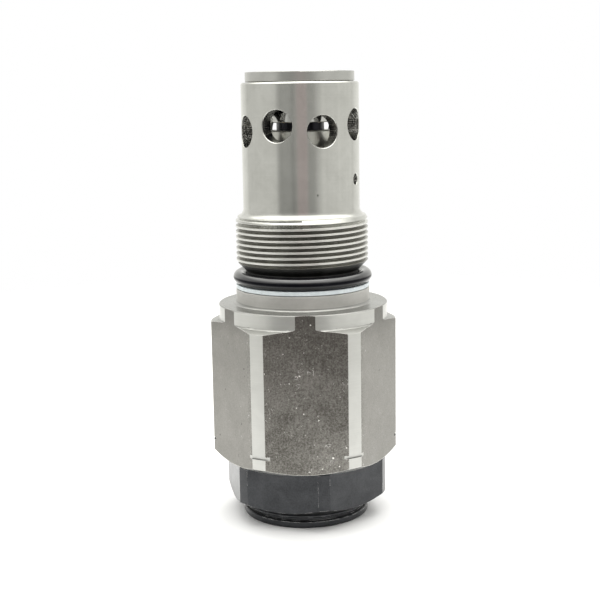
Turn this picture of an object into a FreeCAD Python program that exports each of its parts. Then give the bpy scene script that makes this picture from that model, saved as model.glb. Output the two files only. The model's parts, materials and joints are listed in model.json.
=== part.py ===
import FreeCAD, Part
import math
import os

# Screw-in relief cartridge valve, millimetres. The Z axis is the valve's axis: the adjusting
# plug's end face is z = 0 and the nose (inlet) points up. -Y is the front.
# Angles around the axis are in degrees from the front (-Y), towards +X.

Vector = FreeCAD.Vector

# ---------------------------------------------------------------- driving dimensions
# standard sizes
PITCH = 1.5                 # pitch of both fine threads
PORT_THREAD_R = 18.0        # M36 x 1.5, screws the cartridge into its cavity
PLUG_THREAD_R = 17.5        # M35 x 1.5, adjusting plug in the body and the lock nut
BODY_AF = 46.0              # wrench size of the body hexagon
NUT_AF = 41.0               # wrench size of the lock nut
KEY_AF = 17.0               # hexagon key that turns the adjusting plug

# fits, all radial
RUNNING = 0.05              # sliding and screwing pieces
SEAL_GAP = 0.03             # a squeezed seal and the wall that it presses on
LOOSE = 0.35                # pieces that pass each other without guiding

# threads: 60 degree form, crest flat and depth
THREAD_DEPTH = 0.8
CREST_FLAT = 0.5

# heights along the axis
PLUG_DISC_TOP = 1.9         # end disc of the plug
PLUG_NECK_TOP = 2.8         # groove above it
NUT_BOTTOM = 3.6
BODY_BOTTOM = 16.6
MARK_GROOVE_Z = 21.4
HEX_TOP = 54.5
COLLAR_BOTTOM = 55.8
SEATING_Z = 59.5            # face that seats on the manifold
PILOT_TOP = 63.6
SEAL_GROOVE_TOP = 68.5      # foot of the chamfer that leads into the thread
THREAD_BOTTOM = 71.1
THREAD_TOP = 82.4
TOP_CREST_Z = 81.0          # highest whole crest, measured at the front
SLEEVE_BOTTOM = 85.4
SLEEVE_TOP = 118.85
VALVE_TOP = 121.6

# outside radii
HEX_R = 25.5                # turned corners of the body hexagon
NUT_R = 22.8                # turned corners of the lock nut
COLLAR_R = 23.15
PILOT_R = 18.32
PILOT_FILLET = 0.8          # in the corner between the pilot and the seating face
SEAL_FLOOR_R = 15.45
SLEEVE_R = 15.85
SEAT_FLANGE_R = 14.65
PLUG_DISC_R = 17.45
PLUG_NECK_R = 16.5

# turn of each hexagon about the axis: where the middle of a flat points
BODY_TURN = 0.97
NUT_TURN = -18.0

# inside radii and steps of the body
SEAL_BORE_R = 16.5
CHAMBER_R = 12.0
WINDOW_BORE_R = 11.0
SEAL_BORE_BOTTOM = 37.0
SEAL_BORE_TOP = 53.5
GUIDE_TOP = 101.0
GUIDE_BOTTOM = 94.9

# radial windows of the sleeve: eight at two heights, and a drain for the spring chamber
WINDOW_COUNT = 8
WINDOW_R = 4.2
WINDOW_TURN = -23.3
WINDOW_HIGH_Z = 107.6
WINDOW_LOW_Z = 106.1
DRAIN_R = 1.5
DRAIN_TURN = 66.7
DRAIN_Z = 93.2

# seat and poppet
INLET_R = 5.5
SEAT_EDGE_Z = 111.6
SEAT_SPIGOT_R = 9.0
SEAT_SPIGOT_BOTTOM = 108.3
SEAT_LAND_BOTTOM = 112.8
SEAT_GAP = 0.1              # axial gap left between the poppet's cone and its seat
POPPET_NOSE_R = 6.4
POPPET_R = 9.0
POPPET_SHOULDER_TOP = 106.2
POPPET_SHOULDER_BOTTOM = 86.0
STEM_R = 3.5
STEM_BOTTOM = 28.0
STEM_BORE_R = 1.5

# spring pack
SPRING_WIRE_R = 2.1
SPRING_MEAN_R = 8.4
SPRING_TURNS = 6.5
UPPER_SEAT_THICK = 3.0
SPRING_SEAT_R = 10.8
SPRING_HUB_R = 6.0
SPRING_HUB_LENGTH = 4.0
LOWER_SEAT_R = 11.1
LOWER_SEAT_THICK = 3.0
THICK_SHIM = 0.5
THIN_SHIM = 0.3

# damping piston and liner, inside the adjusting plug
PLUG_FLOOR_Z = 16.0
PLUG_BORE_R = 11.4
PLUG_TOP = 50.0
PLUG_THREAD_TOP = 33.0
PLUG_LAND_BOTTOM = 36.2
KEY_DEPTH = 11.0
LINER_TOP = 35.4
LINER_BORE_R = 8.0
PISTON_BOTTOM = 22.0
PISTON_FLANGE_Z = 35.45
PISTON_FLANGE_THICK = 3.5
STOP_RING_Z = 46.0          # lower face of the retaining ring's groove
STOP_RING_THICK = 1.5

# seals: section diameter of each O-ring as fitted
BODY_O_RING = 3.5
BODY_O_RING_Z = 66.7
BODY_BACKUP_THICK = 1.1
BODY_BACKUP_R = 18.27
PLUG_O_RING = 2.54
PLUG_GROOVE_Z = 38.5
PLUG_GROOVE_WIDTH = 5.0
PLUG_GROOVE_FLOOR = 13.85
SEAT_O_RING = 1.66
SEAT_GROOVE_Z = 113.9
SEAT_GROOVE_WIDTH = 3.2
LINER_O_RING = 1.56
LINER_GROOVE_Z = 19.0
LINER_GROOVE_WIDTH = 3.2
BACKUP_THICK = 1.2
NUT_SEAL = 2.0

FIND = 0.01                 # how near an edge has to be to be the one that is meant


# ---------------------------------------------------------------- building blocks
def turned(outline):
    """A solid of revolution. A point is (r, z), or (r, z, via_r, via_z) at the end of an arc."""
    edges = []
    last = outline[-1]
    for point in outline:
        start = Vector(last[0], 0, last[1])
        end = Vector(point[0], 0, point[1])
        if len(point) == 4:
            edges.append(Part.Arc(start, Vector(point[2], 0, point[3]), end).toShape())
        else:
            edges.append(Part.LineSegment(start, end).toShape())
        last = point
    face = Part.Face(Part.Wire(edges))
    return face.revolve(Vector(0, 0, 0), Vector(0, 0, 1), 360)


def tube(inner, outer, low, high, chamfer=0.0):
    """A ring of rectangular section, its four corners broken by the chamfer."""
    if chamfer == 0.0:
        return turned([(inner, low), (outer, low), (outer, high), (inner, high)])
    return turned([
        (inner + chamfer, low),
        (outer - chamfer, low),
        (outer, low + chamfer),
        (outer, high - chamfer),
        (outer - chamfer, high),
        (inner + chamfer, high),
        (inner, high - chamfer),
        (inner, low + chamfer),
    ])


def o_ring(outer, section, height):
    """An O-ring whose outside touches the radius outer, centred at the height."""
    half = section / 2
    return Part.makeTorus(outer - half, half, Vector(0, 0, height), Vector(0, 0, 1))


def split_ring(inner, outer, low, thick, gap, turn):
    """A flat ring with a scarf cut, like a backup ring, the cut at the angle turn."""
    ring = tube(inner, outer, low, low + thick, thick * 0.08)
    middle = (inner + outer) / 2
    knife = Part.makeBox(gap, (outer - inner) * 2, thick * 4)
    knife.translate(Vector(-gap / 2, -(outer - inner), -thick * 2))
    knife.rotate(Vector(0, 0, 0), Vector(0, 1, 0), 35)
    knife.translate(Vector(0, -middle, low + thick / 2))
    knife.rotate(Vector(0, 0, 0), Vector(0, 0, 1), turn)
    return ring.cut(knife)


def hex_prism(across_flats, low, high, turn):
    """A hexagonal bar whose flats point at turn, turn + 60 and so on."""
    corner_r = across_flats / 2 / math.cos(math.radians(30))
    corners = []
    for index in range(7):
        angle = math.radians(turn - 90 + 30 + 60 * index)
        corners.append(Vector(corner_r * math.cos(angle), corner_r * math.sin(angle), low))
    return Part.Face(Part.makePolygon(corners)).extrude(Vector(0, 0, high - low))


def radial_hole(radius, turn, height, inner, outer):
    """A cutter for a hole along a radius, from the radius inner to outer."""
    direction = Vector(math.sin(math.radians(turn)), -math.cos(math.radians(turn)), 0)
    start = direction * inner + Vector(0, 0, height)
    return Part.makeCylinder(radius, outer - inner, start, direction)


def window_lips(body):
    """The edges where the windows and the drain break through the outside of the sleeve."""
    lips = []
    for edge in body.Edges:
        points = edge.discretize(7)
        on_sleeve = all(abs(math.hypot(p.x, p.y) - SLEEVE_R) < FIND for p in points)
        level = max(p.z for p in points) - min(p.z for p in points) < FIND
        if on_sleeve and not level and edge.Length < 8 * WINDOW_R:
            lips.append(edge)
    return lips


def swept_along_helix(section, pitch, height, radius, start):
    """A closed section carried up a right-hand helix that starts on +X at the height start."""
    helix = Part.makeHelix(pitch, height, radius)
    helix.translate(Vector(0, 0, start))
    solid = Part.Wire(helix.Edges).makePipeShell([section], True, True)
    if solid.Volume < 0:
        solid.reverse()
    return solid


def thread_turn(major, start):
    """One turn of a right-hand V groove; its middle starts on the front at the height start."""
    flank = math.tan(math.radians(30))
    beyond = 0.1
    outer = major + beyond
    root = major - THREAD_DEPTH
    half_root = (PITCH - CREST_FLAT) / 2 - THREAD_DEPTH * flank
    half_mouth = (PITCH - CREST_FLAT) / 2 + beyond * flank
    section = Part.makePolygon([
        Vector(root, 0, start - half_root),
        Vector(outer, 0, start - half_mouth),
        Vector(outer, 0, start + half_mouth),
        Vector(root, 0, start + half_root),
        Vector(root, 0, start - half_root),
    ])
    groove = swept_along_helix(section, PITCH, PITCH, root, start)
    groove.rotate(Vector(0, 0, 0), Vector(0, 0, 1), -90)
    return groove


def threaded(solid, major, start, turns):
    """The solid with a right-hand thread cut into it, one turn at a time."""
    for index in range(turns):
        solid = solid.cut(thread_turn(major, start + PITCH * index))
    return solid


# ---------------------------------------------------------------- body and nose
def valve_body():
    bore = PLUG_THREAD_R + RUNNING
    mouth = 0.75
    mark = 0.38
    step = 0.6
    edge = 0.15
    throat = 0.8
    corner = PILOT_FILLET * (1 - math.sin(math.radians(45)))
    # concave fillet that carries the sleeve into the thread: centre, then its middle
    flare_r = 2.065
    flare_mid = math.radians(37.8)
    outline = [
        (bore + mouth, BODY_BOTTOM),
        (22.8, BODY_BOTTOM),
        (HEX_R, BODY_BOTTOM + (HEX_R - 22.8) * math.tan(math.radians(30))),
        (HEX_R, MARK_GROOVE_Z - mark),
        (HEX_R - 0.5, MARK_GROOVE_Z - mark),
        (HEX_R - 0.5, MARK_GROOVE_Z + mark),
        (HEX_R, MARK_GROOVE_Z + mark),
        (HEX_R, HEX_TOP),
        (COLLAR_R + step, COLLAR_BOTTOM - step),
        (COLLAR_R, COLLAR_BOTTOM, COLLAR_R + step * 0.3, COLLAR_BOTTOM - step * 0.7),
        (COLLAR_R, SEATING_Z - edge),
        (COLLAR_R - edge, SEATING_Z),
        (PILOT_R + PILOT_FILLET, SEATING_Z),
        (PILOT_R, SEATING_Z + PILOT_FILLET, PILOT_R + corner, SEATING_Z + corner),
        (PILOT_R, PILOT_TOP - edge),
        (PILOT_R - edge, PILOT_TOP),
        (SEAL_FLOOR_R, PILOT_TOP),
        (SEAL_FLOOR_R, SEAL_GROOVE_TOP),
        (PORT_THREAD_R, THREAD_BOTTOM),
        (PORT_THREAD_R, THREAD_TOP),
        (SLEEVE_R + 1.55, SLEEVE_BOTTOM - 2.0),
        (
            SLEEVE_R,
            SLEEVE_BOTTOM,
            SLEEVE_R + flare_r * (1 - math.cos(flare_mid)),
            SLEEVE_BOTTOM - flare_r * math.sin(flare_mid),
        ),
        (SLEEVE_R, SLEEVE_TOP - 0.4),
        (SLEEVE_R - 0.35, SLEEVE_TOP),
        (WINDOW_BORE_R + 0.3, SLEEVE_TOP),
        (WINDOW_BORE_R, SLEEVE_TOP - 0.3),
        (WINDOW_BORE_R, GUIDE_TOP),
        (CHAMBER_R, GUIDE_TOP),
        (CHAMBER_R, SEAL_BORE_TOP),
        (SEAL_BORE_R, SEAL_BORE_TOP),
        (SEAL_BORE_R, SEAL_BORE_BOTTOM),
        (bore, SEAL_BORE_BOTTOM - throat),
        (bore, BODY_BOTTOM + mouth),
    ]
    body = turned(outline)
    body = body.common(hex_prism(BODY_AF, BODY_BOTTOM - 1, VALVE_TOP, BODY_TURN))
    for index in range(WINDOW_COUNT):
        height = WINDOW_LOW_Z if index % 2 else WINDOW_HIGH_Z
        turn = WINDOW_TURN + 360 / WINDOW_COUNT * index
        body = body.cut(radial_hole(WINDOW_R, turn, height, WINDOW_BORE_R - 3, 20))
    body = body.cut(radial_hole(DRAIN_R, DRAIN_TURN, DRAIN_Z, CHAMBER_R - 2, 20))
    body = body.makeChamfer(0.18, window_lips(body))
    return threaded(body, PORT_THREAD_R, TOP_CREST_Z - 8.5 * PITCH, 10)


def valve_seat():
    round_r = 0.2
    corner = round_r * (1 - math.sin(math.radians(45)))
    land_r = WINDOW_BORE_R - SEAL_GAP
    floor = land_r - SEAT_O_RING
    counter_r = POPPET_NOSE_R + 0.8
    counter_z = SEAT_EDGE_Z - 0.6
    flange_z = SLEEVE_TOP + 0.15
    return turned([
        (INLET_R, SEAT_EDGE_Z),
        (INLET_R + 0.6, counter_z),
        (counter_r, counter_z),
        (counter_r, SEAT_SPIGOT_BOTTOM + 0.2),
        (counter_r + 0.2, SEAT_SPIGOT_BOTTOM),
        (SEAT_SPIGOT_R - 0.2, SEAT_SPIGOT_BOTTOM),
        (SEAT_SPIGOT_R, SEAT_SPIGOT_BOTTOM + 0.2),
        (SEAT_SPIGOT_R, SEAT_LAND_BOTTOM),
        (land_r - 0.3, SEAT_LAND_BOTTOM),
        (land_r, SEAT_LAND_BOTTOM + 0.3),
        (land_r, SEAT_GROOVE_Z),
        (floor, SEAT_GROOVE_Z),
        (floor, SEAT_GROOVE_Z + SEAT_GROOVE_WIDTH),
        (land_r, SEAT_GROOVE_Z + SEAT_GROOVE_WIDTH),
        (land_r, flange_z),
        (SEAT_FLANGE_R - 0.15, flange_z),
        (SEAT_FLANGE_R, flange_z + 0.15),
        (SEAT_FLANGE_R, VALVE_TOP - round_r),
        (
            SEAT_FLANGE_R - round_r,
            VALVE_TOP,
            SEAT_FLANGE_R - corner,
            VALVE_TOP - corner,
        ),
        (INLET_R + 1.6, VALVE_TOP),
        (INLET_R, VALVE_TOP - 1.6),
    ])


def seat_seals():
    land_r = WINDOW_BORE_R - SEAL_GAP
    ring = o_ring(land_r, SEAT_O_RING, SEAT_GROOVE_Z + 0.15 + SEAT_O_RING / 2)
    low = SEAT_GROOVE_Z + SEAT_GROOVE_WIDTH - BACKUP_THICK - 0.05
    backup = split_ring(land_r - SEAT_O_RING + 0.02, land_r, low, BACKUP_THICK, 0.3, 140)
    return ring, backup


def body_seals():
    outer = SEAL_FLOOR_R + BODY_O_RING + 0.04
    ring = o_ring(outer, BODY_O_RING, BODY_O_RING_Z)
    low = PILOT_TOP + 0.2
    backup = split_ring(SEAL_FLOOR_R + 0.03, BODY_BACKUP_R, low, BODY_BACKUP_THICK, 0.3, 205)
    return ring, backup


def poppet_guide():
    return tube(POPPET_R + RUNNING, CHAMBER_R, GUIDE_BOTTOM, GUIDE_TOP, 0.4)


# ---------------------------------------------------------------- poppet
POPPET_TIP_R = 4.2
POPPET_TIP_Z = SEAT_EDGE_Z - SEAT_GAP + INLET_R - POPPET_TIP_R
ORIFICE_SCREW_R = 2.5
ORIFICE_SCREW_LENGTH = 5.0


def main_poppet():
    """Cone, nose, guided shoulder and the long hollow stem that feeds the damping piston."""
    cone_foot = POPPET_TIP_Z - (POPPET_NOSE_R - POPPET_TIP_R)
    socket_floor = POPPET_TIP_Z - ORIFICE_SCREW_LENGTH - 0.6
    neck = 0.35
    outline = [
        (ORIFICE_SCREW_R, POPPET_TIP_Z),
        (POPPET_TIP_R, POPPET_TIP_Z),
        (POPPET_NOSE_R, cone_foot),
        (POPPET_NOSE_R, POPPET_SHOULDER_TOP),
        (POPPET_R - 0.3, POPPET_SHOULDER_TOP),
        (POPPET_R, POPPET_SHOULDER_TOP - 0.3),
    ]
    for index in range(3):
        groove = GUIDE_BOTTOM + 4.6 - 1.8 * index
        outline += [
            (POPPET_R, groove),
            (POPPET_R - neck, groove),
            (POPPET_R - neck, groove - 0.5),
            (POPPET_R, groove - 0.5),
        ]
    outline += [
        (POPPET_R, POPPET_SHOULDER_BOTTOM + 0.3),
        (POPPET_R - 0.3, POPPET_SHOULDER_BOTTOM),
        (STEM_R, POPPET_SHOULDER_BOTTOM),
        (STEM_R, STEM_BOTTOM + 0.4),
        (STEM_R - 0.4, STEM_BOTTOM),
        (STEM_BORE_R, STEM_BOTTOM),
        (STEM_BORE_R, socket_floor),
        (ORIFICE_SCREW_R, socket_floor),
    ]
    return turned(outline)


def orifice_screw():
    """Headless screw with a hexagon socket and a fine jet through it."""
    low = POPPET_TIP_Z - ORIFICE_SCREW_LENGTH - 0.3
    high = POPPET_TIP_Z - 0.3
    jet_r = 0.4
    screw = turned([
        (jet_r, low),
        (ORIFICE_SCREW_R - 0.3, low),
        (ORIFICE_SCREW_R - 0.02, low + 0.3),
        (ORIFICE_SCREW_R - 0.02, high - 0.3),
        (ORIFICE_SCREW_R - 0.3, high),
        (jet_r, high),
    ])
    return screw.cut(hex_prism(2.5, high - 2.5, high + 1, 10))


# ---------------------------------------------------------------- spring pack
SPRING_TOP = POPPET_SHOULDER_BOTTOM - UPPER_SEAT_THICK
SHIMS_Z = PISTON_FLANGE_Z + PISTON_FLANGE_THICK
LOWER_SEAT_Z = SHIMS_Z + THICK_SHIM + THIN_SHIM
SPRING_BOTTOM = LOWER_SEAT_Z + LOWER_SEAT_THICK


def spring_seat(bore, flange, face, back, hub_end):
    """A flanged washer: its face takes the spring, its hub centres the coils."""
    sense = 1 if hub_end > face else -1
    edge = 0.3 * sense
    return turned([
        (bore, back),
        (flange - 0.3, back),
        (flange, back + edge),
        (flange, face - edge),
        (flange - 0.3, face),
        (SPRING_HUB_R, face),
        (SPRING_HUB_R, hub_end - edge * 3),
        (SPRING_HUB_R - 0.9, hub_end),
        (bore, hub_end),
    ])


def main_spring():
    """Compression spring with ends ground flat."""
    height = SPRING_TOP - SPRING_BOTTOM
    centre = Vector(SPRING_MEAN_R, 0, SPRING_BOTTOM)
    section = Part.Wire(Part.makeCircle(SPRING_WIRE_R, centre, Vector(0, 1, 0)))
    pitch = height / SPRING_TURNS
    coil = swept_along_helix(section, pitch, height, SPRING_MEAN_R, SPRING_BOTTOM)
    return coil.common(tube(SPRING_HUB_R, SPRING_SEAT_R + 1, SPRING_BOTTOM, SPRING_TOP))


def damping_piston():
    """Hollow piston on the poppet's stem; its flange carries the shims and the spring."""
    outer = LINER_BORE_R - RUNNING
    bore = STEM_R + RUNNING
    top = PISTON_FLANGE_Z + PISTON_FLANGE_THICK
    outline = [
        (bore, PISTON_BOTTOM + 0.3),
        (bore + 0.3, PISTON_BOTTOM),
        (outer - 0.4, PISTON_BOTTOM),
        (outer, PISTON_BOTTOM + 0.4),
    ]
    for index in range(3):
        groove = PISTON_BOTTOM + 3.0 + 2.4 * index
        outline += [
            (outer, groove),
            (outer - 0.4, groove),
            (outer - 0.4, groove + 0.5),
            (outer, groove + 0.5),
        ]
    outline += [
        (outer, PISTON_FLANGE_Z),
        (SPRING_SEAT_R - 0.3, PISTON_FLANGE_Z),
        (SPRING_SEAT_R, PISTON_FLANGE_Z + 0.3),
        (SPRING_SEAT_R, top - 0.3),
        (SPRING_SEAT_R - 0.3, top),
        (bore, top),
    ]
    return turned(outline)


def shims():
    inner = STEM_R + LOOSE
    thick = tube(inner, SPRING_SEAT_R - 0.4, SHIMS_Z, SHIMS_Z + THICK_SHIM)
    thin = tube(inner, SPRING_SEAT_R - 0.4, SHIMS_Z + THICK_SHIM, LOWER_SEAT_Z)
    return thick, thin


def piston_liner():
    outer = PLUG_BORE_R - RUNNING
    floor = outer - LINER_O_RING - 0.02
    top = LINER_GROOVE_Z + LINER_GROOVE_WIDTH
    return turned([
        (LINER_BORE_R + 0.3, PLUG_FLOOR_Z),
        (outer - 0.4, PLUG_FLOOR_Z),
        (outer, PLUG_FLOOR_Z + 0.4),
        (outer, LINER_GROOVE_Z),
        (floor, LINER_GROOVE_Z),
        (floor, top),
        (outer, top),
        (outer, LINER_TOP - 0.4),
        (outer - 0.4, LINER_TOP),
        (LINER_BORE_R + 0.4, LINER_TOP),
        (LINER_BORE_R, LINER_TOP - 0.4),
        (LINER_BORE_R, PLUG_FLOOR_Z + 0.3),
    ])


def liner_seals():
    outer = PLUG_BORE_R - RUNNING
    low = LINER_GROOVE_Z + LINER_GROOVE_WIDTH - BACKUP_THICK - 0.05
    ring = o_ring(outer, LINER_O_RING, LINER_GROOVE_Z + 0.1 + LINER_O_RING / 2)
    backup = split_ring(outer - LINER_O_RING, outer, low, BACKUP_THICK, 0.3, 60)
    return ring, backup


# ---------------------------------------------------------------- adjusting plug and lock nut
def adjusting_plug():
    land = SEAL_BORE_R - RUNNING
    groove_top = PLUG_GROOVE_Z + PLUG_GROOVE_WIDTH
    ring_floor = PLUG_BORE_R + 1.0
    ring_top = STOP_RING_Z + STOP_RING_THICK + 0.1
    plug = turned([
        (0, 0),
        (PLUG_DISC_R - 0.45, 0),
        (PLUG_DISC_R, 0.45, PLUG_DISC_R - 0.13, 0.13),
        (PLUG_DISC_R, PLUG_DISC_TOP - 0.2),
        (PLUG_DISC_R - 0.2, PLUG_DISC_TOP),
        (PLUG_NECK_R, PLUG_DISC_TOP),
        (PLUG_NECK_R, PLUG_NECK_TOP),
        (PLUG_THREAD_R - 0.3, PLUG_NECK_TOP),
        (PLUG_THREAD_R, PLUG_NECK_TOP + 0.3),
        (PLUG_THREAD_R, PLUG_THREAD_TOP - 1.2),
        (PLUG_NECK_R - 0.2, PLUG_THREAD_TOP),
        (PLUG_NECK_R - 0.2, PLUG_LAND_BOTTOM),
        (land, PLUG_LAND_BOTTOM),
        (land, PLUG_GROOVE_Z),
        (PLUG_GROOVE_FLOOR, PLUG_GROOVE_Z),
        (PLUG_GROOVE_FLOOR, groove_top),
        (land, groove_top),
        (land, PLUG_TOP - 1.0),
        (land - 0.6, PLUG_TOP),
        (PLUG_BORE_R + 0.5, PLUG_TOP),
        (PLUG_BORE_R, PLUG_TOP - 0.5),
        (PLUG_BORE_R, ring_top),
        (ring_floor, ring_top),
        (ring_floor, STOP_RING_Z),
        (PLUG_BORE_R, STOP_RING_Z),
        (PLUG_BORE_R, PLUG_FLOOR_Z),
        (0, PLUG_FLOOR_Z),
    ])
    plug = plug.cut(hex_prism(KEY_AF, -1, KEY_DEPTH, 18))
    corner_r = KEY_AF / 2 / math.cos(math.radians(30))
    plug = plug.cut(Part.makeCone(corner_r + 0.6, corner_r - 1.4, 1.4))
    drill = Part.makeCone(KEY_AF / 2 - 0.3, 0, 2.2, Vector(0, 0, KEY_DEPTH))
    plug = plug.cut(drill)
    thread_start = PLUG_NECK_TOP + 2.4
    turns = math.ceil((PLUG_THREAD_TOP - thread_start) / PITCH)
    return threaded(plug, PLUG_THREAD_R, thread_start, turns)


def plug_seals():
    outer = SEAL_BORE_R - SEAL_GAP - 0.02
    low = PLUG_GROOVE_Z + 0.05
    backup = split_ring(PLUG_GROOVE_FLOOR + 0.02, outer, low, BACKUP_THICK + 0.2, 0.3, 300)
    height = low + BACKUP_THICK + 0.2 + 0.1 + PLUG_O_RING / 2
    return o_ring(outer, PLUG_O_RING, height), backup


def retaining_ring():
    """Internal snap ring in the mouth of the plug, open at the front."""
    low = STOP_RING_Z + 0.05
    outer = PLUG_BORE_R + 0.95
    inner = LOWER_SEAT_R - 0.25
    ring = tube(inner, outer, low, low + STOP_RING_THICK)
    opening = Part.makeBox(4, 6, STOP_RING_THICK * 2)
    opening.translate(Vector(-2, -outer - 1, low - 0.5))
    return ring.cut(opening)


def lock_nut():
    bore = PLUG_THREAD_R + RUNNING
    face_r = 17.95
    slope = math.tan(math.radians(31))
    top = BODY_BOTTOM - 0.05
    recess_r = bore + NUT_SEAL + 0.25
    recess_z = top - NUT_SEAL - 0.1
    nut = turned([
        (bore, NUT_BOTTOM),
        (face_r, NUT_BOTTOM),
        (NUT_R, NUT_BOTTOM + (NUT_R - face_r) * slope),
        (NUT_R, top - 0.15),
        (NUT_R - 0.15, top),
        (recess_r, top),
        (recess_r, recess_z),
        (bore, recess_z),
    ])
    return nut.common(hex_prism(NUT_AF, 0, BODY_BOTTOM, NUT_TURN))


def nut_seal_ring():
    bore = PLUG_THREAD_R + RUNNING
    outer = bore + NUT_SEAL + 0.15
    return o_ring(outer, NUT_SEAL, BODY_BOTTOM - 0.12 - NUT_SEAL / 2)


# ---------------------------------------------------------------- all nodes
def build():
    seat_o_ring, seat_backup_ring = seat_seals()
    body_o_ring, body_backup_ring = body_seals()
    liner_o_ring, liner_backup_ring = liner_seals()
    plug_o_ring, plug_backup_ring = plug_seals()
    thick_shim, thin_shim = shims()
    upper = spring_seat(
        STEM_R + 0.02,
        SPRING_SEAT_R,
        SPRING_TOP,
        POPPET_SHOULDER_BOTTOM,
        SPRING_TOP - SPRING_HUB_LENGTH,
    )
    lower = spring_seat(
        STEM_R + LOOSE,
        LOWER_SEAT_R,
        SPRING_BOTTOM,
        LOWER_SEAT_Z,
        SPRING_BOTTOM + SPRING_HUB_LENGTH,
    )
    return {
        "valve_body": valve_body(),
        "valve_seat": valve_seat(),
        "seat_o_ring": seat_o_ring,
        "seat_backup_ring": seat_backup_ring,
        "body_o_ring": body_o_ring,
        "body_backup_ring": body_backup_ring,
        "poppet_guide": poppet_guide(),
        "main_poppet": main_poppet(),
        "orifice_screw": orifice_screw(),
        "upper_spring_seat": upper,
        "main_spring": main_spring(),
        "lower_spring_seat": lower,
        "thick_shim": thick_shim,
        "thin_shim": thin_shim,
        "damping_piston": damping_piston(),
        "piston_liner": piston_liner(),
        "liner_o_ring": liner_o_ring,
        "liner_backup_ring": liner_backup_ring,
        "retaining_ring": retaining_ring(),
        "adjusting_plug": adjusting_plug(),
        "plug_o_ring": plug_o_ring,
        "plug_backup_ring": plug_backup_ring,
        "lock_nut": lock_nut(),
        "nut_seal_ring": nut_seal_ring(),
    }


os.makedirs("parts", exist_ok=True)
for name, shape in build().items():
    box = shape.BoundBox
    print(name, shape.isValid(), len(shape.Solids), round(shape.Volume, 1),
          round(box.ZMin, 2), round(box.ZMax, 2))
    shape.exportStep("parts/" + name + ".step")
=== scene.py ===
"""Looks for a screw-in cartridge valve: materials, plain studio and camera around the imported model."""
import json
import math

import bpy
from mathutils import Matrix, Vector


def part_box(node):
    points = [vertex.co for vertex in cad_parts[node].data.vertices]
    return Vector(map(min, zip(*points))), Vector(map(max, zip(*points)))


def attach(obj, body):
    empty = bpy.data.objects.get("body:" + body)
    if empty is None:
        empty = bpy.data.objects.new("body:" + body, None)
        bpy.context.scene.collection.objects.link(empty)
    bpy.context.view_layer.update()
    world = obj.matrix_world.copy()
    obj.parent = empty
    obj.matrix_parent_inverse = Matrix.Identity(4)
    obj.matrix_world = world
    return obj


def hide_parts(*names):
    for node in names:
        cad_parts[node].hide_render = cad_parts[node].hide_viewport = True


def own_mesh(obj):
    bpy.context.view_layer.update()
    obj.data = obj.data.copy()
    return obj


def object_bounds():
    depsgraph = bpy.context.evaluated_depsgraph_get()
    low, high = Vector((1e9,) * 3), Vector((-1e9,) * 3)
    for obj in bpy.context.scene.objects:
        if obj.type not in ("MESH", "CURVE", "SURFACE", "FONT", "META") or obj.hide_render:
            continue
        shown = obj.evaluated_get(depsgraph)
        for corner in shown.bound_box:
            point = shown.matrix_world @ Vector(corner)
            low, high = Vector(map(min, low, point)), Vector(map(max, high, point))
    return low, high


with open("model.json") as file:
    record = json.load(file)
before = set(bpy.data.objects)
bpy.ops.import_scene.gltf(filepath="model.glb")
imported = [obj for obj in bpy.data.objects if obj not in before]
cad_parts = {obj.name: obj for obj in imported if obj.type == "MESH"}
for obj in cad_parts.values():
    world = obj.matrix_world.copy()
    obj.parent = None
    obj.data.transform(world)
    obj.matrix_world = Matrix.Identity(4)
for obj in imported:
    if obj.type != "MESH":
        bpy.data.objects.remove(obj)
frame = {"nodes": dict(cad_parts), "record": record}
cad_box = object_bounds()
NODES = frame["nodes"]
MM = 0.001

# ---------------------------------------------------------------- heights and radii of the body
MOUNTS = {mount["name"]: mount for mount in frame["record"]["mounts"]}


def span(name):
    """Lower and upper end of a cylindrical mount, along the valve's axis."""
    middle = MOUNTS[name]["pos_m"][2]
    half = MOUNTS[name]["dims"]["length_mm"] * MM / 2
    return middle - half, middle + half


TOP = cad_box[1].z
SEATING_Z = MOUNTS["seating_face"]["pos_m"][2]
LAND_LOW_Z, LAND_HIGH_Z = span("pilot_land")
THREAD_LOW_Z, THREAD_HIGH_Z = span("port_thread")
THREAD_R = MOUNTS["port_thread"]["dims"]["r_mm"] * MM
SLEEVE_R = MOUNTS["nose_sleeve"]["dims"]["r_mm"] * MM
HEX_APOTHEM = 23.0 * MM
MARK_GROOVE_Z = 21.4 * MM
CHAMBER_R = 12.0 * MM
POPPET_NOSE_R = 6.4 * MM
SEAT_SPIGOT_R = 9.0 * MM
# where one zone of the body gives way to the next
SLEEVE_FOOT_Z = THREAD_HIGH_Z + 1.05 * MM
RUN_OUT_Z = THREAD_HIGH_Z - 1.0 * MM
THREAD_FOOT_Z = THREAD_LOW_Z - 0.9 * MM
GROOVE_FOOT_Z = LAND_HIGH_Z + 0.14 * MM
LAND_FOOT_Z = LAND_LOW_Z - 0.03 * MM
CREST_R = THREAD_R - 0.4 * MM
WINDOW_WALL_R = SLEEVE_R - 0.3 * MM
# how far a face leans, as a part of its normal
FACES_IN = -0.3
LEANS = 0.3
NEARLY_LEVEL = 0.8


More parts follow.
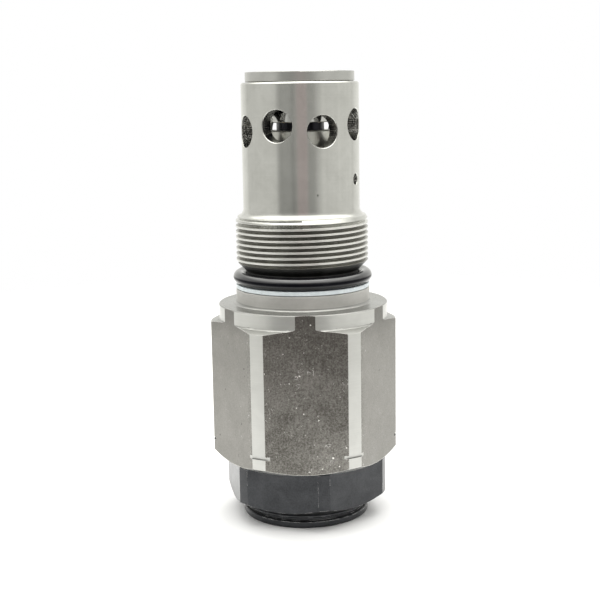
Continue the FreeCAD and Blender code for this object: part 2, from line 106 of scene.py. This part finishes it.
# ---------------------------------------------------------------- node trees
class Tree:
    """A node tree that is written down as expressions."""

    def __init__(self, tree):
        self.tree = tree

    def add(self, kind, **settings):
        node = self.tree.nodes.new(kind)
        for key, value in settings.items():
            setattr(node, key, value)
        return node

    def join(self, value, socket):
        """Links an output to a socket, or sets the socket to a number or a vector."""
        if isinstance(value, bpy.types.NodeSocket):
            self.tree.links.new(value, socket)
        else:
            socket.default_value = value

    def math(self, operation, first, second=0.0):
        node = self.add("ShaderNodeMath", operation=operation)
        self.join(first, node.inputs[0])
        self.join(second, node.inputs[1])
        return node.outputs[0]

    def times(self, first, second):
        return self.math("MULTIPLY", first, second)

    def plus(self, first, second):
        return self.math("ADD", first, second)

    def vector(self, operation, first, second):
        node = self.add("ShaderNodeVectorMath", operation=operation)
        self.join(first, node.inputs[0])
        self.join(second, node.inputs[1])
        return node.outputs["Value" if operation in ("LENGTH", "DOT_PRODUCT") else "Vector"]

    def parts(self, vector):
        node = self.add("ShaderNodeSeparateXYZ")
        self.join(vector, node.inputs[0])
        return node.outputs["X"], node.outputs["Y"], node.outputs["Z"]

    def combined(self, x, y, z):
        node = self.add("ShaderNodeCombineXYZ")
        for value, socket in zip((x, y, z), node.inputs):
            self.join(value, socket)
        return node.outputs["Vector"]

    def remap(self, value, low, high, out_low=0.0, out_high=1.0, smooth=False):
        node = self.add("ShaderNodeMapRange")
        if smooth:
            node.interpolation_type = "SMOOTHSTEP"
        for name, given in (("Value", value), ("From Min", low), ("From Max", high),
                            ("To Min", out_low), ("To Max", out_high)):
            self.join(given, node.inputs[name])
        return node.outputs["Result"]

    def mix(self, factor, first, second):
        node = self.add("ShaderNodeMix", data_type="RGBA")
        self.join(factor, node.inputs["Factor"])
        for value, socket in ((first, node.inputs[6]), (second, node.inputs[7])):
            self.join((*value, 1.0) if isinstance(value, tuple) else value, socket)
        return node.outputs[2]

    def noise(self, where, scale, detail=4.0, roughness=0.55, distortion=0.0):
        node = self.add("ShaderNodeTexNoise")
        for name, given in (("Vector", where), ("Scale", scale), ("Detail", detail),
                            ("Roughness", roughness), ("Distortion", distortion)):
            self.join(given, node.inputs[name])
        return node.outputs["Fac"]

    def cells(self, where, scale):
        """Distance to the nearest of scattered points, and two random numbers of that point."""
        node = self.add("ShaderNodeTexVoronoi")
        self.join(where, node.inputs["Vector"])
        self.join(scale, node.inputs["Scale"])
        chosen = self.add("ShaderNodeSeparateColor")
        self.join(node.outputs["Color"], chosen.inputs[0])
        return node.outputs["Distance"], chosen.outputs["Red"], chosen.outputs["Green"]


class Shader(Tree):
    """A material with a Principled shader; place is the model's own place in millimetres."""

    def __init__(self, name, **constants):
        self.material = bpy.data.materials.new(name)
        self.material.use_nodes = True
        super().__init__(self.material.node_tree)
        self.principled = self.tree.nodes["Principled BSDF"]
        for socket, value in constants.items():
            self.principled.inputs[socket.replace("_", " ")].default_value = value
        where = self.add("ShaderNodeTexCoord").outputs["Object"]
        self.place = self.vector("MULTIPLY", where, (1000.0, 1000.0, 1000.0))

    def set(self, socket, value):
        self.tree.links.new(value, self.principled.inputs[socket])

    def stretched(self, x, y, z):
        return self.vector("MULTIPLY", self.place, (x, y, z))

    def radius_and_height(self):
        x, y, z = self.parts(self.place)
        return self.vector("LENGTH", self.combined(x, y, 0.0), (0.0, 0.0, 0.0)), z

    def rings(self, fineness):
        """Noise that hardly changes round the axis, as a lathe or a grinding wheel leaves it."""
        radius, height = self.radius_and_height()
        where = self.combined(self.times(radius, fineness), self.times(height, fineness),
                              self.noise(self.place, 0.12, 2.0))
        return self.noise(where, 1.0, 3.0, 0.6)

    def broken_edges(self, radius):
        """Normals that run smoothly over the edges; radius is in millimetres."""
        bevel = self.add("ShaderNodeBevel", samples=6)
        bevel.inputs["Radius"].default_value = radius * MM
        return bevel.outputs["Normal"]

    def edge_mask(self, radius):
        """One on sharp edges and zero on open faces."""
        flat = self.add("ShaderNodeNewGeometry").outputs["Normal"]
        facing = self.vector("DOT_PRODUCT", self.broken_edges(radius), flat)
        return self.remap(facing, 0.995, 0.94)

    def bump(self, height, strength, depth, edge=0.0):
        """Relief from a height, and edges rounded in the light; lengths are in millimetres."""
        node = self.add("ShaderNodeBump")
        node.inputs["Strength"].default_value = strength
        node.inputs["Distance"].default_value = depth * MM
        self.join(height, node.inputs["Height"])
        if edge:
            self.join(self.broken_edges(edge), node.inputs["Normal"])
        self.set("Normal", node.outputs["Normal"])

    def around_axis(self):
        """Stretches highlights across the rings of tool marks."""
        tangent = self.add("ShaderNodeTangent", direction_type="RADIAL", axis="Z")
        self.set("Tangent", tangent.outputs["Tangent"])
        self.principled.inputs["Anisotropic Rotation"].default_value = 0.25


# ---------------------------------------------------------------- finishes
def machined(name, dark, light, rough, marks, depth, stretch=0.5, edge=0.1, nicks=False):
    """Turned or ground metal: rings of tool marks, faint stains, uneven gloss, a few nicks."""
    shader = Shader(name, Metallic=1.0, Anisotropic=stretch)
    rings = shader.rings(marks)
    stains = shader.noise(shader.place, 0.16, 5.0, 0.6, 0.4)
    grime = shader.noise(shader.place, 0.9, 6.0, 0.65)
    tone = shader.plus(shader.times(rings, 0.4), shader.times(stains, 0.6))
    colour = shader.mix(shader.remap(tone, 0.34, 0.66), dark, light)
    height = rings
    if nicks:
        distance, pick, _ = shader.cells(shader.stretched(1.0, 1.0, 0.5), 0.22)
        nick = shader.math("LESS_THAN", distance, shader.remap(pick, 0.86, 1.0, 0.0, 0.07))
        colour = shader.mix(nick, colour, (0.06, 0.055, 0.05))
        height = shader.plus(rings, shader.times(nick, -4.0))
    shader.set("Base Color", colour)
    shader.set("Roughness", shader.plus(shader.remap(rings, 0.3, 0.7, rough - 0.03, rough + 0.04),
                                        shader.remap(grime, 0.4, 0.75, 0.0, 0.06)))
    shader.bump(height, 0.5, depth, edge)
    shader.around_axis()
    return shader.material


FRONT_FLAT_FROM, FRONT_FLAT_TO = -19.0, -22.0
# heights over which the painted shade towards the collar comes in
SHADE_FROM_Z, SHADE_TO_Z = 52.0, 57.0
FLAT_TONE = 0.505


def raw_stock(name):
    """The hexagon bar's own skin: grey-brown grain, bright specks and pits, most on the front flat."""
    shader = Shader(name, Metallic=1.0)
    cloud = shader.noise(shader.place, 0.1, 4.0, 0.6, 0.8)
    grain = shader.noise(shader.place, 2.2, 5.0, 0.8)
    drawn = shader.noise(shader.stretched(1.8, 1.8, 0.25), 1.0, 4.0, 0.7)
    tone = shader.plus(shader.plus(shader.times(cloud, 0.25), shader.times(grain, 0.63)),
                       shader.times(drawn, 0.12))
    across, height = shader.parts(shader.place)[1:]
    knocked_flat = shader.remap(across, FRONT_FLAT_FROM, FRONT_FLAT_TO, 0.15, 1.0)
    spread = shader.remap(knocked_flat, 0.15, 1.0, 0.3, 1.0)
    centre = shader.remap(knocked_flat, 0.15, 1.0, 0.525, FLAT_TONE)
    tone = shader.plus(centre, shader.times(shader.plus(tone, -FLAT_TONE), spread))
    skin = shader.mix(shader.remap(tone, 0.42, 0.6), (0.105, 0.1, 0.089), (0.3, 0.292, 0.27))
    # painted shade: the skin darkens towards the collar
    painted_shade_to_collar = shader.remap(height, SHADE_FROM_Z, SHADE_TO_Z, 0.0, 0.4)
    skin = shader.mix(painted_shade_to_collar, skin, (0.09, 0.085, 0.078))
    distance, pick, other = shader.cells(shader.place, 0.55)
    gathered = shader.times(shader.remap(cloud, 0.4, 0.52), knocked_flat)
    speck = shader.math("LESS_THAN", distance,
                        shader.times(shader.remap(pick, 0.62, 1.0, 0.0, 0.18), gathered))
    pit = shader.math("LESS_THAN", distance, shader.remap(other, 0.74, 1.0, 0.0, 0.15))
    fine, pick_fine, _ = shader.cells(shader.place, 1.3)
    dot = shader.math("LESS_THAN", fine, shader.remap(pick_fine, 0.84, 1.0, 0.0, 0.22))
    skin = shader.mix(shader.times(dot, shader.times(knocked_flat, 0.5)), skin, (0.75, 0.74, 0.7))
    winding = shader.noise(shader.place, 0.45, 1.0, 0.5, 0.6)
    line = shader.math("COMPARE", winding, 0.5)
    line.node.inputs[2].default_value = 0.006
    patch = shader.math("GREATER_THAN", shader.noise(shader.place, 0.5, 2.0), 0.6)
    scratch = shader.times(shader.times(line, patch), gathered)
    skin = shader.mix(pit, skin, (0.06, 0.055, 0.05))
    skin = shader.mix(shader.math("MAXIMUM", speck, scratch), skin, (0.95, 0.94, 0.9))
    worn = shader.times(shader.edge_mask(0.2), shader.remap(grain, 0.3, 0.45))
    skin = shader.mix(worn, skin, (0.85, 0.84, 0.8))
    shader.set("Base Color", skin)
    shader.set("Roughness", shader.remap(tone, 0.4, 0.62, 0.38, 0.3))
    dents = shader.plus(shader.times(pit, -0.6), shader.times(speck, 0.6))
    shader.bump(shader.plus(grain, dents), 0.7, 0.05)
    return shader.material


def drilled_wall_shade_and_glints(name):
    """The wall of a drilled hole: a dark base as painted shade, and chatter whose tops carry painted
    highlights.
    """
    shader = Shader(name, Metallic=1.0)
    chatter = shader.noise(shader.stretched(2.4, 2.4, 0.8), 1.0, 5.0, 0.75, 1.0)
    chatter_painted_highlight = shader.remap(chatter, 0.41, 0.55, smooth=True)
    # painted shade in the dark base, painted highlights on the chatter
    shader.set("Base Color", shader.mix(chatter_painted_highlight, (0.05, 0.048, 0.045), (0.75, 0.75, 0.72)))
    shader.set("Roughness", shader.remap(chatter, 0.3, 0.7, 0.4, 0.16))
    shader.bump(chatter, 1.0, 0.16)
    return shader.material


def black_oxide(name, rings=False):
    """Blackened steel under an oil film, with bright wear on edges and a few scratches."""
    shader = Shader(name, Metallic=1.0, Coat_Weight=0.55, Coat_Roughness=0.22)
    cloud = shader.noise(shader.place, 0.2, 5.0, 0.6, 0.5)
    grain = shader.rings(3.0) if rings else shader.noise(shader.place, 2.8, 5.0, 0.65)
    tone = shader.plus(shader.times(cloud, 0.5), shader.times(grain, 0.5))
    coat = shader.mix(shader.remap(tone, 0.35, 0.65), (0.014, 0.015, 0.018), (0.042, 0.044, 0.048))
    distance, pick, _ = shader.cells(shader.stretched(1.0, 1.0, 0.2), 0.3)
    scratch = shader.math("LESS_THAN", distance, shader.remap(pick, 0.8, 1.0, 0.0, 0.06))
    worn_places = shader.remap(shader.noise(shader.place, 0.35, 3.0), 0.5, 0.56)
    worn = shader.times(shader.edge_mask(0.14), worn_places)
    bare = shader.math("MAXIMUM", scratch, worn)
    shader.set("Base Color", shader.mix(bare, coat, (0.6, 0.6, 0.6)))
    shader.set("Roughness", shader.remap(tone, 0.3, 0.7, 0.42, 0.3))
    shader.bump(grain, 0.35, 0.02, 0.12)
    return shader.material


def rubber(name):
    """Black nitrile: the specular strength follows the way a face looks, a painted highlight on upward
    faces, a weaker one below and painted shade round the crown; a little dust.
    """
    shader = Shader(name, IOR=1.5)
    grain = shader.noise(shader.place, 3.0, 5.0, 0.6)
    dust = shader.noise(shader.place, 0.5, 5.0, 0.7)
    shader.set("Base Color", shader.mix(shader.remap(dust, 0.5, 0.8), (0.004, 0.004, 0.006),
                                        (0.014, 0.014, 0.017)))
    # painted highlight and painted shade: the specular level follows how far the face looks up
    leaning = shader.parts(shader.add("ShaderNodeNewGeometry").outputs["Normal"])[2]
    shader.set("Specular IOR Level", shader.plus(shader.remap(leaning, 0.18, 0.36, 0.05, 1.15),
                                                 shader.remap(leaning, -0.12, -0.3, 0.0, 0.36)))
    shader.set("Roughness", shader.remap(grain, 0.3, 0.7, 0.06, 0.1))
    shader.bump(grain, 0.2, 0.01)
    return shader.material


def white_plastic(name):
    """PTFE: waxy bluish white with faint machining rings."""
    shader = Shader(name, IOR=1.38)
    rings = shader.rings(9.0)
    stain = shader.noise(shader.place, 0.7, 4.0)
    shader.set("Base Color", shader.mix(shader.remap(stain, 0.35, 0.7), (0.65, 0.71, 0.74),
                                        (0.75, 0.81, 0.84)))
    shader.set("Roughness", shader.remap(rings, 0.3, 0.7, 0.38, 0.5))
    shader.bump(rings, 0.3, 0.02)
    return shader.material


# ---------------------------------------------------------------- zones of one-piece nodes
def outwardness(centre, normal):
    """How far a face looks away from the axis: 1 straight out, -1 straight in."""
    return (centre.x * normal.x + centre.y * normal.y) / max(math.hypot(centre.x, centre.y), MM)


def thread_zone(centre, normal):
    """Crests are level outside faces and get a painted highlight; roots and level faces get painted shade;
    flanks lean steeply, and below the thread they get the painted shade of the holes; the run-out stays
    bright.
    """
    if centre.z > RUN_OUT_Z:
        return "sleeve"
    if abs(normal.z) > NEARLY_LEVEL:
        return "valley_painted_shade"
    if abs(normal.z) > LEANS:
        return "sleeve" if centre.z > THREAD_LOW_Z else "bore_painted_shade"
    return "crest_painted_highlight" if math.hypot(centre.x, centre.y) > CREST_R else "valley_painted_shade"


def body_zone(centre, normal):
    radius = math.hypot(centre.x, centre.y)
    outward = outwardness(centre, normal)
    # faces that look inward, and the chamber, get painted shade
    if outward < FACES_IN or radius < CHAMBER_R + 0.2 * MM:
        return "bore_painted_shade"
    if centre.z < SEATING_Z - 0.01 * MM:
        apothem = centre.x * normal.x + centre.y * normal.y
        on_flat = abs(normal.z) < 0.01 and abs(apothem - HEX_APOTHEM) < 0.05 * MM
        # the mark groove's leaning faces get painted shade, as dark outlines
        if abs(centre.z - MARK_GROOVE_Z) < 0.5 * MM and abs(normal.z) > 0.5:
            return "bore_painted_shade"
        if on_flat:
            return "raw"
        # faces that look upward get the darker copy: painted shade
        return "shoulder_painted_shade" if normal.z > LEANS else "turned"
    if centre.z > SLEEVE_FOOT_Z:
        in_wall = outward < 0.5 and radius < WINDOW_WALL_R and normal.z < 0.5
        return "window" if in_wall else "sleeve"
    if centre.z > THREAD_FOOT_Z:
        return thread_zone(centre, normal)
    # the seal groove and the taper under the thread get painted shade
    if centre.z > GROOVE_FOOT_Z:
        return "bore_painted_shade"
    # faces below the land get the darker copy: painted shade
    return "land" if centre.z > LAND_FOOT_Z else "shoulder_painted_shade"


def seat_zone(centre, normal):
    # faces that look inward get painted shade
    if outwardness(centre, normal) < FACES_IN:
        return "bore_painted_shade"
    spigot = math.hypot(centre.x, centre.y) < SEAT_SPIGOT_R + 0.1 * MM
    return "polished" if spigot and centre.z < TOP - 2 * MM else "sleeve"


def poppet_zone(centre, normal):
    nose = math.hypot(centre.x, centre.y) < POPPET_NOSE_R + 0.05 * MM
    # the nose gets painted shade
    return "relief_painted_shade" if nose and centre.z > TOP / 2 else "lapped"


def paint(node, zones, zone_of):
    """Gives each face of a node the material of its zone."""
    mesh = NODES[node].data
    mesh.materials.clear()
    order = list(zones)
    for name in order:
        mesh.materials.append(zones[name])
    for face in mesh.polygons:
        face.material_index = order.index(zone_of(face.center, face.normal))


ground = machined("ground_steel", (0.49, 0.49, 0.462), (0.57, 0.57, 0.542), 0.175, 14.0, 0.002, 0.75,
                  0.12, nicks=True)
turned = machined("turned_steel", (0.5, 0.5, 0.478), (0.58, 0.58, 0.557), 0.32, 7.0, 0.006, 0.5,
                  0.2)
# painted shade: a darker copy of the turned steel for faces that look upward
shoulder_painted_shade = machined("shoulder_steel_painted_shade", (0.27, 0.27, 0.258), (0.35, 0.35, 0.336), 0.28, 7.0, 0.006, 0.5, 0.2)
seat_ring = machined("seat_steel", (0.41, 0.41, 0.39), (0.5, 0.5, 0.48), 0.32, 9.0, 0.004, 0.6, 0.15)
land = machined("seal_land", (0.5, 0.493, 0.475), (0.6, 0.593, 0.575), 0.7, 6.0, 0.01, 0.0, 0.0)
# painted highlight on the thread crests and painted shade in the roots: a lit and a shaded copy of one
# steel
crest_painted_highlight = machined("thread_crest_painted_highlight", (0.64, 0.64, 0.61), (0.74, 0.74, 0.71), 0.34, 10.0, 0.004, 0.2, 0.25)
valley_painted_shade = machined("thread_valley_painted_shade", (0.215, 0.21, 0.192), (0.335, 0.33, 0.302), 0.28, 10.0, 0.004, 0.3)
# painted shade: near-black steel on the poppet nose inside the windows
relief_painted_shade = machined("relief_steel_painted_shade", (0.012, 0.012, 0.015), (0.03, 0.03, 0.035), 0.35, 8.0, 0.006)
# painted shade: dark steel for holes, the mark groove's leaning faces, the seal groove and the taper under
# the thread
bore_painted_shade = machined("bore_steel_painted_shade", (0.05, 0.05, 0.05), (0.12, 0.12, 0.115), 0.4, 8.0, 0.006)
lapped = machined("hardened_steel", (0.52, 0.52, 0.48), (0.64, 0.64, 0.6), 0.38, 4.0, 0.01, 0.3)
polished = machined("polished_steel", (0.5, 0.5, 0.48), (0.58, 0.58, 0.56), 0.12, 16.0, 0.001, 0.0)
spring = machined("spring_steel", (0.12, 0.12, 0.13), (0.25, 0.25, 0.26), 0.35, 6.0, 0.004, 0.0)
bronze = machined("bronze", (0.5, 0.3, 0.12), (0.68, 0.44, 0.2), 0.3, 10.0, 0.004, 0.4)
raw = raw_stock("raw_bar_steel")
# painted shade and painted highlights on the window walls
drilled = drilled_wall_shade_and_glints("drilled_wall_shade_and_glints")
nut_oxide = black_oxide("black_oxide_flats")
plug_oxide = black_oxide("black_oxide_turned", rings=True)
nitrile = rubber("nitrile_rubber")
ptfe = white_plastic("white_ptfe")

paint("valve_body", {"sleeve": ground, "turned": turned, "shoulder_painted_shade": shoulder_painted_shade, "land": land, "raw": raw,
                     "crest_painted_highlight": crest_painted_highlight, "valley_painted_shade": valley_painted_shade, "bore_painted_shade": bore_painted_shade, "window": drilled},
      body_zone)
paint("valve_seat", {"sleeve": seat_ring, "polished": polished, "bore_painted_shade": bore_painted_shade}, seat_zone)
paint("main_poppet", {"lapped": lapped, "relief_painted_shade": relief_painted_shade}, poppet_zone)
FINISHES = {
    "seat_o_ring": nitrile, "seat_backup_ring": ptfe, "body_o_ring": nitrile,
    "body_backup_ring": ptfe, "poppet_guide": bronze, "orifice_screw": plug_oxide,
    "upper_spring_seat": lapped, "main_spring": spring, "lower_spring_seat": lapped,
    "thick_shim": ground, "thin_shim": ground, "damping_piston": lapped,
    "piston_liner": ground, "liner_o_ring": nitrile, "liner_backup_ring": ptfe,
    "retaining_ring": spring, "adjusting_plug": plug_oxide, "plug_o_ring": nitrile,
    "plug_backup_ring": ptfe, "lock_nut": nut_oxide, "nut_seal_ring": nitrile,
}
for node, finish in FINISHES.items():
    NODES[node].data.materials.clear()
    NODES[node].data.materials.append(finish)


# ---------------------------------------------------------------- main spring
SPRING_WIRE_R = 2.1 * MM
SPRING_TURNS = 6.5
COIL_STEPS = 48
WIRE_STEPS = 18
spring_low, spring_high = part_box("main_spring")
THIRD = (spring_high.z - spring_low.z) / 3


def coil(name, first_turn, last_turn):
    """Part of the coil as a closed tube; the spring's two ends are ground flat."""
    mean_r = spring_high.x - SPRING_WIRE_R
    pitch = 3 * THIRD / SPRING_TURNS
    stations = round((last_turn - first_turn) * COIL_STEPS)
    points = []
    for station in range(stations + 1):
        turn = first_turn + (last_turn - first_turn) * station / stations
        angle = 2 * math.pi * turn
        for step in range(WIRE_STEPS):
            round_wire = 2 * math.pi * step / WIRE_STEPS
            radius = mean_r + SPRING_WIRE_R * math.cos(round_wire)
            height = spring_low.z + turn * pitch + SPRING_WIRE_R * math.sin(round_wire)
            height = min(max(height, spring_low.z), spring_high.z)
            points.append((radius * math.cos(angle), radius * math.sin(angle), height))
    faces = [tuple(range(WIRE_STEPS))]
    for near in range(0, stations * WIRE_STEPS, WIRE_STEPS):
        far = near + WIRE_STEPS
        for step in range(WIRE_STEPS):
            after = (step + 1) % WIRE_STEPS
            faces.append((near + step, far + step, far + after, near + after))
    faces.append(tuple(reversed(range(stations * WIRE_STEPS, (stations + 1) * WIRE_STEPS))))
    mesh = bpy.data.meshes.new(name)
    mesh.from_pydata(points, [], faces)
    mesh.polygons.foreach_set("use_smooth", [True] * len(mesh.polygons))
    mesh.materials.append(spring)
    made = bpy.data.objects.new(name, mesh)
    bpy.context.scene.collection.objects.link(made)
    return made


# each stretch of the coil hangs on the body that moves its own end
STRETCHES = (("main_spring_lower", "damping_assembly", "damping_stroke", spring_low.z),
             ("main_spring_middle", "adjuster_core", "adjuster_travel", spring_low.z + THIRD),
             ("main_spring_upper", "poppet_assembly", "poppet_lift", spring_high.z))
for index, (name, body, joint, held_z) in enumerate(STRETCHES):
    stretch = coil(name, index * SPRING_TURNS / 3, (index + 1) * SPRING_TURNS / 3)
    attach(stretch, body)
    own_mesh(stretch)
    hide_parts("main_spring")


# ---------------------------------------------------------------- studio
# brightness of what stands round the valve; the backdrop that the camera sees is 1
SIDES = 0.86
BEHIND = 1.07
ROOM = 0.53
WARM_STAND = 0.1
DARK_STAND = -0.07
NEAR_TABLE = 0.36
RIGHT_FILL = 0.08
OVERHEAD = 3.0
LENS_MM = 70.94
SENSOR_MM = 36.0
CAMERA_PLACE = (-0.00083, -0.3216, 0.1158)
LOOK_DOWN_DEG = 9.9
ROLL_DEG = -0.93
FLOOR_R = 0.46
FLOOR_RINGS = 24
FLOOR_SPOKES = 96


def floor():
    """A pale round floor whose rim fades out, so that no horizon shows."""
    points = [(0.0, 0.0, 0.0)]
    faces = []
    for ring in range(1, FLOOR_RINGS + 1):
        reach = FLOOR_R * ring / FLOOR_RINGS
        for spoke in range(FLOOR_SPOKES):
            angle = 2 * math.pi * spoke / FLOOR_SPOKES
            points.append((reach * math.cos(angle), reach * math.sin(angle), 0.0))
    for spoke in range(FLOOR_SPOKES):
        after = (spoke + 1) % FLOOR_SPOKES
        faces.append((0, 1 + spoke, 1 + after))
        for ring in range(FLOOR_RINGS - 1):
            near = 1 + ring * FLOOR_SPOKES
            far = near + FLOOR_SPOKES
            faces.append((near + spoke, far + spoke, far + after, near + after))
    mesh = bpy.data.meshes.new("floor")
    mesh.from_pydata(points, [], faces)
    made = bpy.data.objects.new("floor", mesh)
    bpy.context.scene.collection.objects.link(made)
    shader = Shader("floor_paper", Roughness=0.9)
    tint = shader.noise(shader.place, 0.02, 3.0)
    shader.set("Base Color", shader.mix(tint, (0.74, 0.74, 0.752), (0.77, 0.77, 0.782)))
    behind = shader.vector("SUBTRACT", shader.place, (0.0, 120.0, 0.0))
    away = shader.vector("LENGTH", behind, (0.0, 0.0, 0.0))
    shader.set("Alpha", shader.remap(away, 175.0, 330.0, 1.0, 0.0, smooth=True))
    mesh.materials.append(shader.material)


def studio_world():
    """White surroundings, brighter behind and overhead, dim where the photographer stands."""
    world = bpy.data.worlds.new("studio")
    bpy.context.scene.world = world
    world.use_nodes = True
    sky = Tree(world.node_tree)
    x, y, z = sky.parts(sky.add("ShaderNodeTexCoord").outputs["Generated"])
    azimuth = sky.math("ARCTAN2", x, sky.times(y, -1.0))

    def rise(left, right):
        """Climbs from zero to one between two azimuths; zero degrees is the photographer."""
        return sky.remap(azimuth, math.radians(left), math.radians(right), smooth=True)

    side = sky.math("ABSOLUTE", sky.plus(azimuth, math.radians(2)))
    level = sky.remap(side, math.radians(122), math.radians(130), SIDES, BEHIND, smooth=True)
    level = sky.plus(level, sky.times(sky.times(rise(55, 75), rise(125, 115)), RIGHT_FILL))
    front = sky.times(rise(-51, -41), sky.math("SUBTRACT", 1.0, rise(22, 45)))
    room = sky.plus(ROOM, sky.times(sky.times(rise(-9, -5), rise(15, 10)), WARM_STAND))
    room = sky.plus(room, sky.times(sky.times(rise(-20, -16), rise(-8, -12)), DARK_STAND))
    near_table = sky.remap(z, -0.1, -0.2, 0.0, NEAR_TABLE, smooth=True)
    room = sky.math("SUBTRACT", room, near_table)
    above = sky.remap(z, 0.45, 0.8, smooth=True)
    front = sky.times(front, sky.math("SUBTRACT", 1.0, above))
    level = sky.plus(level, sky.times(front, sky.math("SUBTRACT", room, level)))
    level = sky.times(level, sky.remap(above, 0.0, 1.0, 1.0, OVERHEAD))
    stands = sky.noise(sky.combined(x, y, 0.0), 9.0, 2.0)
    level = sky.times(level, sky.remap(stands, 0.35, 0.65, 0.95, 1.05))
    blush = sky.times(sky.times(rise(-9, -5), rise(15, 10)), sky.math("SUBTRACT", 1.0, above))
    colour = sky.mix(blush, (1.0, 0.998, 0.955), (1.0, 0.88, 0.86))
    seen = sky.add("ShaderNodeLightPath").outputs["Is Camera Ray"]
    background = sky.tree.nodes["Background"]
    sky.join(sky.mix(seen, colour, (1.0, 1.0, 1.0)), background.inputs["Color"])
    white = sky.times(seen, sky.math("SUBTRACT", 1.0, level))
    sky.join(sky.plus(level, white), background.inputs["Strength"])


def softbox(name, place, size, power):
    """A square soft light that faces the middle of the valve."""
    data = bpy.data.lights.new(name, "AREA")
    data.size = size
    data.energy = power
    lamp = bpy.data.objects.new(name, data)
    lamp.location = place
    lamp.rotation_euler = (Vector((0, 0, TOP / 2)) - lamp.location).to_track_quat("-Z", "Y").to_euler()
    bpy.context.scene.collection.objects.link(lamp)


def camera():
    """The photographer's place: level with the nose, looking slightly down."""
    data = bpy.data.cameras.new("camera")
    data.sensor_width = SENSOR_MM
    data.lens = LENS_MM
    data.clip_start = 0.01
    made = bpy.data.objects.new("camera", data)
    bpy.context.scene.collection.objects.link(made)
    down = math.radians(LOOK_DOWN_DEG)
    roll = math.radians(ROLL_DEG)
    turn = Matrix.Rotation(math.pi / 2 - down, 4, "X") @ Matrix.Rotation(roll, 4, "Z")
    made.matrix_world = Matrix.Translation(CAMERA_PLACE) @ turn
    bpy.context.scene.camera = made


floor()
studio_world()
softbox("top_softbox", (0.0, 0.05, 0.75), 0.6, 1.4)
camera()
bpy.context.scene.view_settings.view_transform = "Standard"
